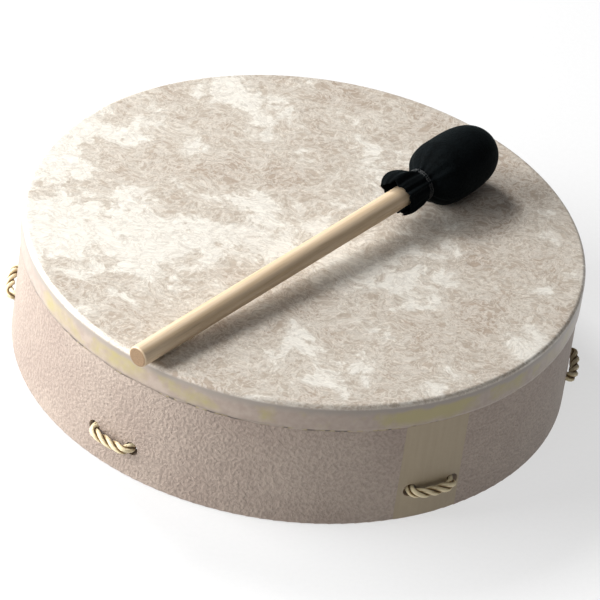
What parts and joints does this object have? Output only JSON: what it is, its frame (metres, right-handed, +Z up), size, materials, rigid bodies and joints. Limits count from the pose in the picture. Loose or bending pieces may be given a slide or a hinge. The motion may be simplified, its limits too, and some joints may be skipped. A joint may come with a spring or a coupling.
{
  "type": "frame drum",
  "caption": "Shallow round frame drum with a skin-look head, a rope hand-hold laced through its hoop and a loose mallet with a fleece head",
  "frame": {"origin": "centre of the hoop's open bottom edge, on the surface that the drum stands on", "axes": "+Z up through the drumhead; +X through the loops of the first rope; the joint strip faces the front right, between +X and -Y"},
  "size_m": [0.3686, 0.356, 0.1359],
  "materials": {
    "hoop": "resin-bonded wood fibre, fine orange-peel satin",
    "joint_strip": "smooth satin",
    "film": "satin, cloudy skin look",
    "glue": "dried amber glue",
    "rope": "twisted natural fibre",
    "twine": "fine twisted twine",
    "lashing": "twisted cord",
    "dowel": "bare sanded hardwood",
    "core": "dense foam",
    "fleece": "short-pile black fleece",
    "tie": "black elastic cord"
  },
  "bodies": {
    "drum": {"shell": "hoop", "seam_strip": "joint_strip", "drumhead": "film", "collar_glue": "glue", "hand_rope_1": "rope", "hand_rope_2": "rope", "hand_rope_3": "rope", "twine_seizing_1": "twine", "twine_seizing_2": "twine", "twine_seizing_3": "twine", "twine_seizing_4": "twine", "twine_seizing_5": "twine", "twine_seizing_6": "twine", "hub_lashing": "lashing"},
    "mallet": {"mallet_handle": "dowel", "mallet_core": "core", "mallet_cover": "fleece", "neck_tie": "tie"}
  },
  "joints": [
    {"name": "mallet_lift", "type": "slide", "parent": "drum", "child": "mallet", "axis": [0, 0, 1], "range_m": [0, 0.25]}
  ]
}
